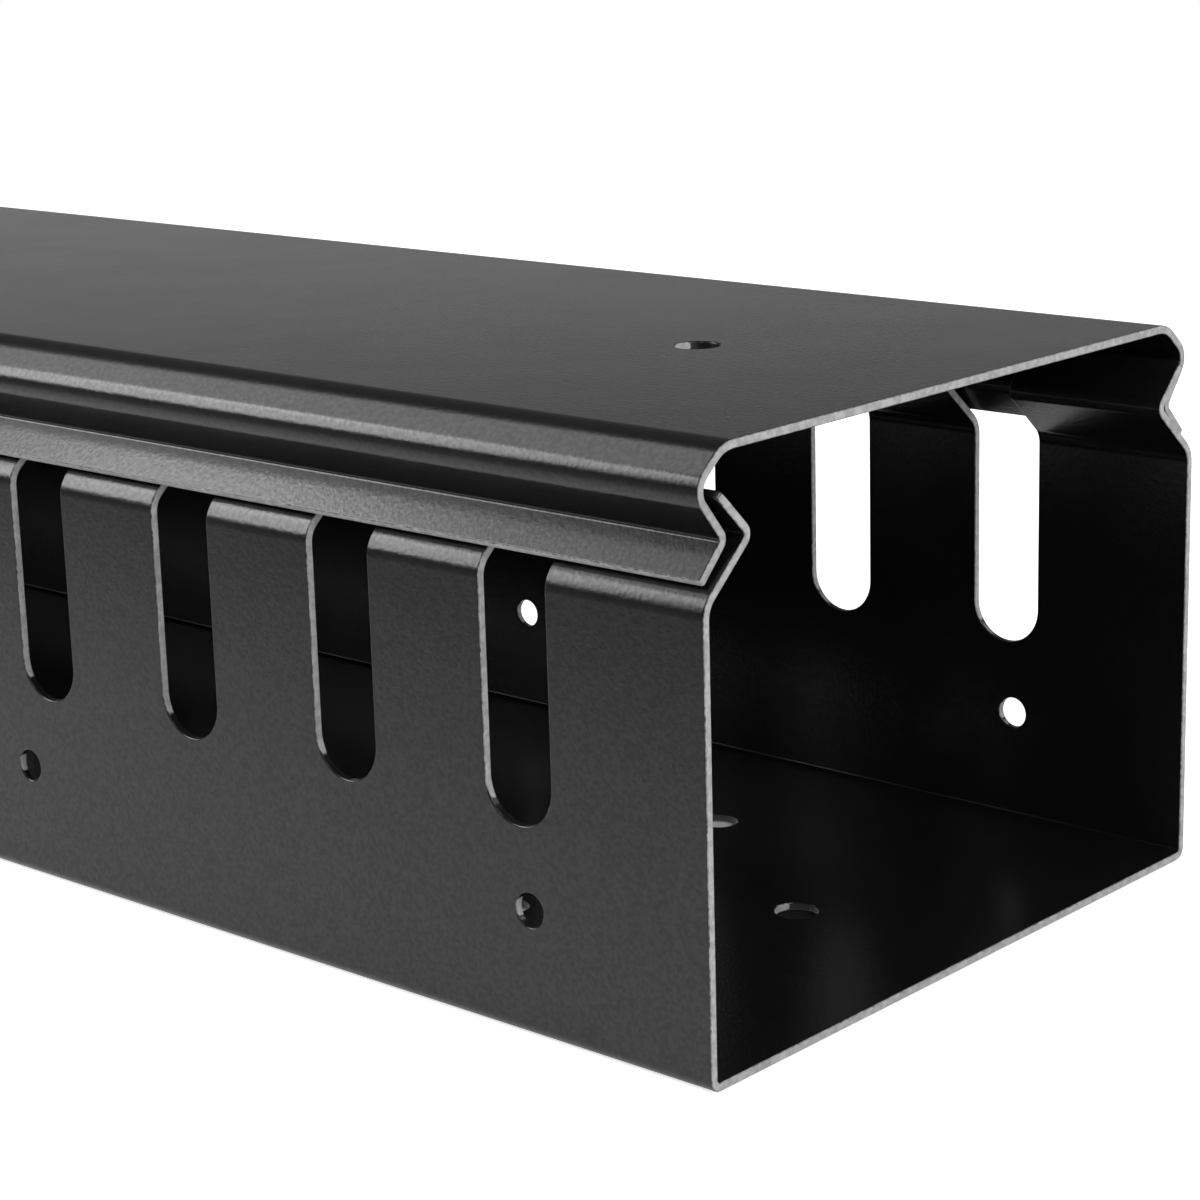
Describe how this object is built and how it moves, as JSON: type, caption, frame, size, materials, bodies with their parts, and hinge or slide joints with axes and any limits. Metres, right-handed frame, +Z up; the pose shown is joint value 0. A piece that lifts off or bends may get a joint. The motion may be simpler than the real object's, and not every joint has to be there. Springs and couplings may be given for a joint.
{
  "type": "vertical cable manager",
  "caption": "Long black steel duct for rack cabling, with slotted finger walls, a flat back and a cover whose hooked flanges snap into the bent finger tips.",
  "frame": {"origin": "middle of the outer face of the duct's back, where the object rests as it lies in the picture", "axes": "+X along the length towards the pictured end, +Y across the width, +Z up from the back towards the cover"},
  "size_m": [0.9772, 0.1558, 0.1143],
  "materials": {
    "duct_coat": "satin",
    "cover_coat": "satin"
  },
  "bodies": {
    "duct": {"duct_channel": "duct_coat"},
    "cover": {"snap_cover": "cover_coat"}
  },
  "joints": [
    {"name": "cover_slide", "type": "slide", "parent": "duct", "child": "cover", "axis": [1, 0, 0], "range_m": [-0.99, 0.99]}
  ]
}
